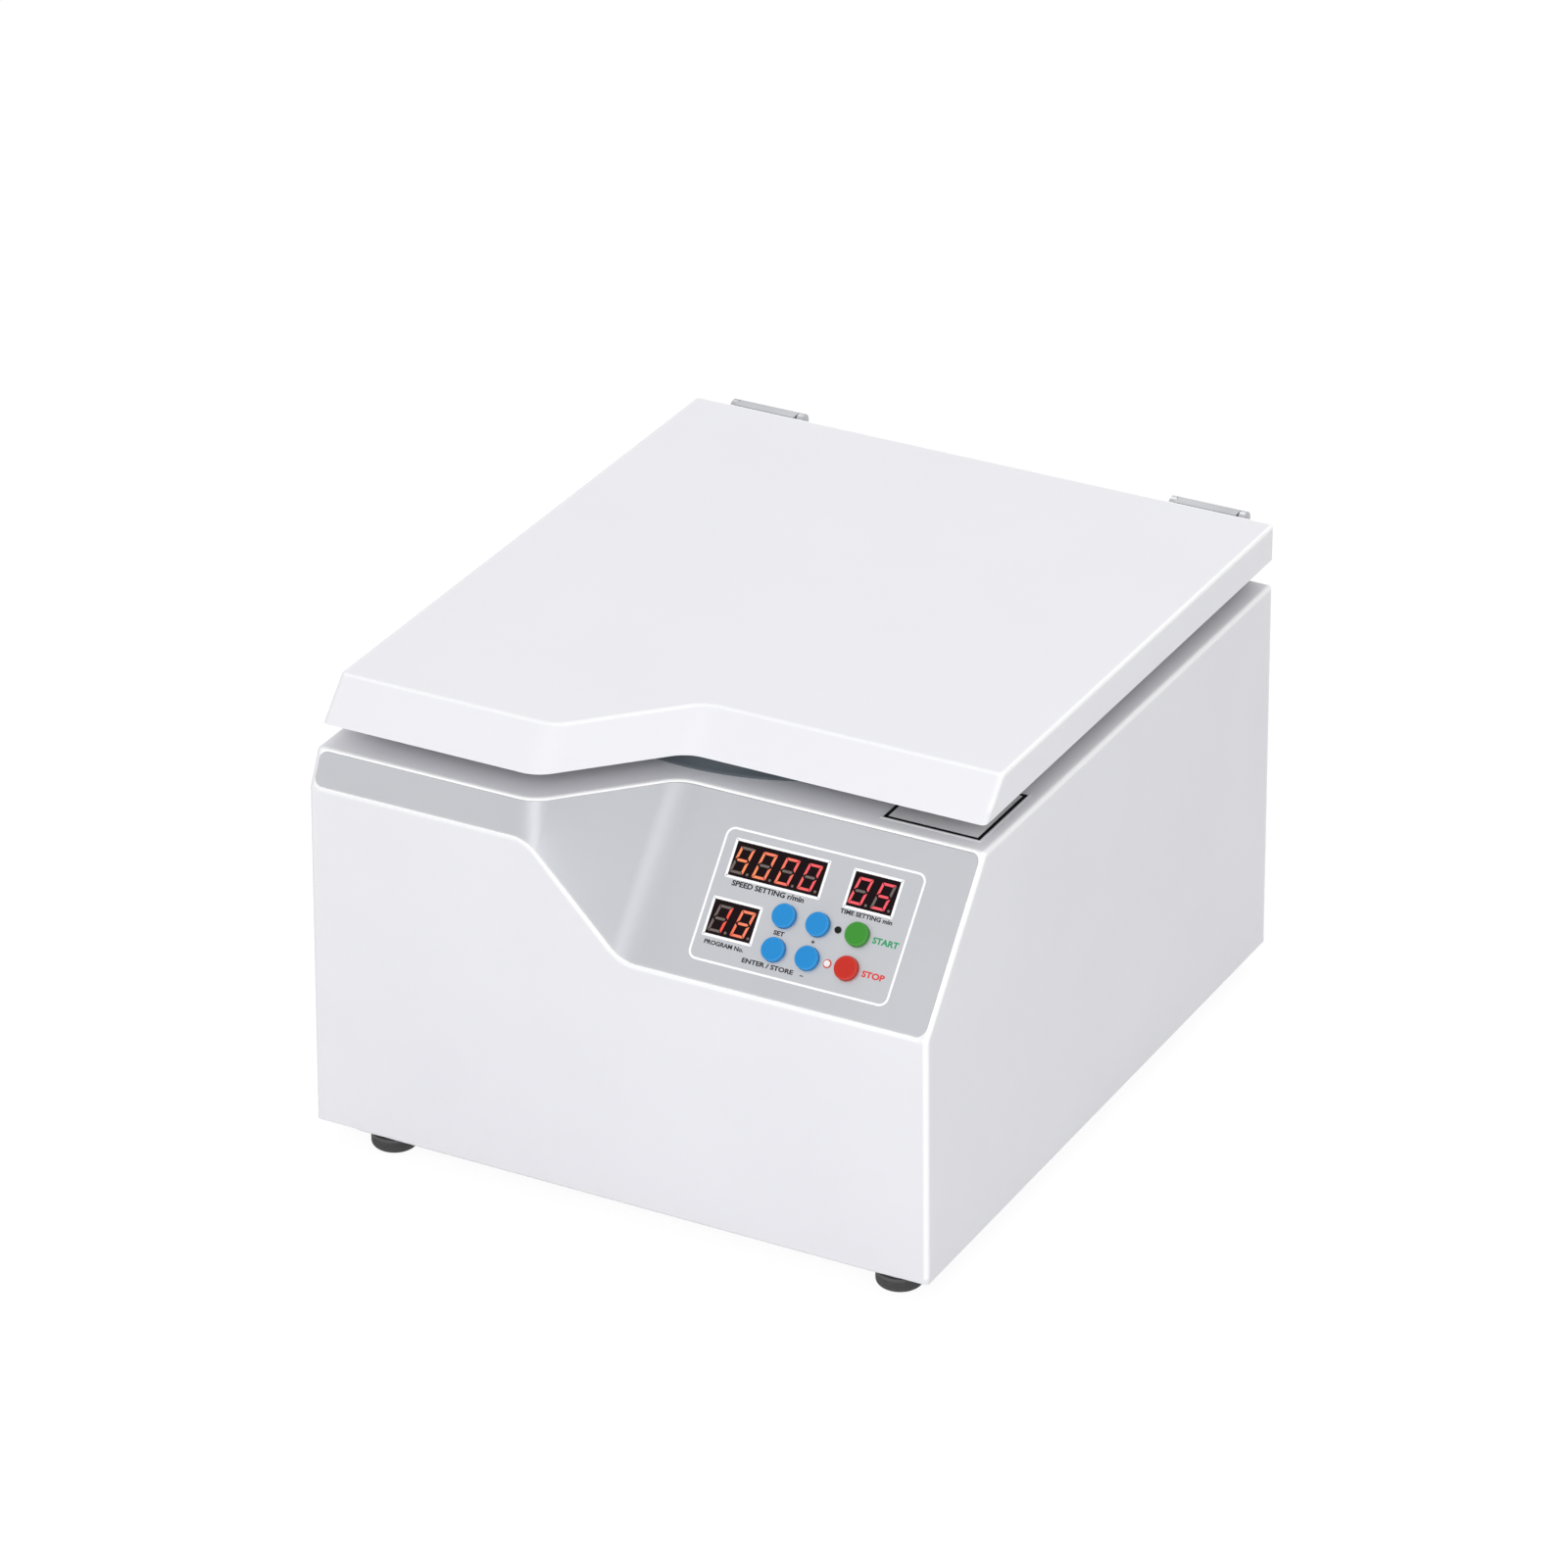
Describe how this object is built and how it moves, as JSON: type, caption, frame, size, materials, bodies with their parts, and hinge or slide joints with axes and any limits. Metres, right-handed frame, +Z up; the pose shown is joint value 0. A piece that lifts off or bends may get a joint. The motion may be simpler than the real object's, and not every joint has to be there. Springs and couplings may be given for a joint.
{
  "type": "low-speed centrifuge",
  "caption": "Bench-top low-speed centrifuge: low cabinet with a slanted stepped control panel, hinged flat lid, steel chamber and a swing-out bucket rotor.",
  "frame": {"origin": "on the table under the middle of the machine's bounding box", "axes": "+X across the front to the viewer's right, +Y from the front to the back, +Z up"},
  "size_m": [0.357, 0.422, 0.262],
  "materials": {
    "cabinet_white": "moulded, satin",
    "lid_white": "moulded, satin",
    "liner_white": "moulded, satin",
    "film_grey": "fine texture",
    "display_black": "smooth",
    "lamp_red": "smooth",
    "board_green": "printed circuit board",
    "button_blue": "satin",
    "button_green": "satin",
    "button_red": "satin",
    "switch_black": "moulded",
    "pan_white": "powder coat",
    "foot_rubber": "moulded",
    "screw_steel": "plain",
    "bowl_steel": "spun",
    "seal_rubber": "moulded",
    "barrel_steel": "primer",
    "mount_rubber": "moulded",
    "plate_steel": "zinc coat",
    "motor_aluminium": "cast",
    "bearing_steel": "ground",
    "stator_steel": "laminated",
    "armature_iron": "turned",
    "yoke_aluminium": "machined",
    "pin_steel": "ground",
    "bucket_aluminium": "anodised",
    "cushion_rubber": "moulded",
    "lock_black": "moulded",
    "coil_copper": "wound",
    "hinge_steel": "satin",
    "label_white": "plain sheet",
    "panel_paint": "powder coat",
    "inlet_black": "moulded",
    "contact_brass": "plain",
    "rocker_red": "smooth"
  },
  "bodies": {
    "base": {"cabinet_shell": "cabinet_white", "control_film": "film_grey", "speed_display": "display_black", "time_display": "display_black", "program_display": "display_black", "indicator_lamps": "lamp_red", "control_board": "board_green", "key_switches": "switch_black", "base_pan": "pan_white", "rubber_feet": "foot_rubber", "case_screws": "screw_steel", "chamber_bowl": "bowl_steel", "chamber_seal": "seal_rubber", "guard_barrel": "barrel_steel", "vibration_mounts": "mount_rubber", "motor_plate": "plate_steel", "motor_housing": "motor_aluminium", "motor_bearings": "bearing_steel", "stator": "stator_steel", "spindle_boot": "seal_rubber", "latch_housing": "lock_black", "latch_coil": "coil_copper", "fixed_hinge_leaves": "hinge_steel", "hinge_pins": "hinge_steel", "fixed_leaf_screws": "screw_steel", "deck_label": "label_white", "drive_board": "board_green", "board_spacers": "switch_black", "rear_panel": "panel_paint", "power_inlet": "inlet_black", "inlet_pins": "contact_brass", "switch_frame": "switch_black"},
    "lid": {"lid_shell": "lid_white", "lid_liner": "liner_white", "liner_screws": "screw_steel", "lid_striker": "pin_steel", "lid_hinge_leaves": "hinge_steel", "lid_leaf_screws": "screw_steel"},
    "rotor": {"rotor_yoke": "yoke_aluminium", "trunnion_pins": "pin_steel", "rotor_nut": "pin_steel", "motor_shaft": "pin_steel", "armature": "armature_iron"},
    "bucket_1": {"bucket_1": "bucket_aluminium", "bucket_cushion_1": "cushion_rubber"},
    "bucket_2": {"bucket_2": "bucket_aluminium", "bucket_cushion_2": "cushion_rubber"},
    "bucket_3": {"bucket_3": "bucket_aluminium", "bucket_cushion_3": "cushion_rubber"},
    "bucket_4": {"bucket_4": "bucket_aluminium", "bucket_cushion_4": "cushion_rubber"},
    "button_menu": {"button_menu": "button_blue"},
    "button_up": {"button_up": "button_blue"},
    "button_start": {"button_start": "button_green"},
    "button_enter": {"button_enter": "button_blue"},
    "button_down": {"button_down": "button_blue"},
    "button_stop": {"button_stop": "button_red"},
    "power_rocker": {"power_rocker": "rocker_red"},
    "latch_bolt": {"latch_bolt": "pin_steel"}
  },
  "joints": [
    {"name": "lid_hinge", "type": "hinge", "parent": "base", "child": "lid", "pos_m": [0, 0.206, 0.257], "axis": [-1, 0, 0], "range_deg": [0, 75]},
    {"name": "rotor_spin", "type": "hinge", "parent": "base", "child": "rotor", "pos_m": [0, 0.005, 0.15], "axis": [0, 0, 1], "continuous": true},
    {"name": "bucket_swing_1", "type": "hinge", "parent": "rotor", "child": "bucket_1", "pos_m": [0.056, 0.005, 0.202], "axis": [0, -1, 0], "range_deg": [0, 90]},
    {"name": "bucket_swing_2", "type": "hinge", "parent": "rotor", "child": "bucket_2", "pos_m": [0, 0.061, 0.202], "axis": [1, 0, 0], "range_deg": [0, 90]},
    {"name": "bucket_swing_3", "type": "hinge", "parent": "rotor", "child": "bucket_3", "pos_m": [-0.056, 0.005, 0.202], "axis": [0, 1, 0], "range_deg": [0, 90]},
    {"name": "bucket_swing_4", "type": "hinge", "parent": "rotor", "child": "bucket_4", "pos_m": [0, -0.051, 0.202], "axis": [-1, 0, 0], "range_deg": [0, 90]},
    {"name": "button_menu_press", "type": "slide", "parent": "base", "child": "button_menu", "axis": [0, 0.7603, -0.6496], "range_m": [0, 0.001], "stiffness_N_per_m": 400, "springref_m": -0.0005},
    {"name": "button_up_press", "type": "slide", "parent": "base", "child": "button_up", "axis": [0, 0.7603, -0.6496], "range_m": [0, 0.001], "stiffness_N_per_m": 400, "springref_m": -0.0005},
    {"name": "button_start_press", "type": "slide", "parent": "base", "child": "button_start", "axis": [0, 0.7603, -0.6496], "range_m": [0, 0.001], "stiffness_N_per_m": 400, "springref_m": -0.0005},
    {"name": "button_enter_press", "type": "slide", "parent": "base", "child": "button_enter", "axis": [0, 0.7603, -0.6496], "range_m": [0, 0.001], "stiffness_N_per_m": 400, "springref_m": -0.0005},
    {"name": "button_down_press", "type": "slide", "parent": "base", "child": "button_down", "axis": [0, 0.7603, -0.6496], "range_m": [0, 0.001], "stiffness_N_per_m": 400, "springref_m": -0.0005},
    {"name": "button_stop_press", "type": "slide", "parent": "base", "child": "button_stop", "axis": [0, 0.7603, -0.6496], "range_m": [0, 0.001], "stiffness_N_per_m": 400, "springref_m": -0.0005},
    {"name": "power_rocker_tilt", "type": "hinge", "parent": "base", "child": "power_rocker", "pos_m": [0.048, 0.193, 0.075], "axis": [1, 0, 0], "range_deg": [0, 20]},
    {"name": "latch_bolt_slide", "type": "slide", "parent": "base", "child": "latch_bolt", "axis": [0, -1, 0], "range_m": [0, 0.009]}
  ]
}
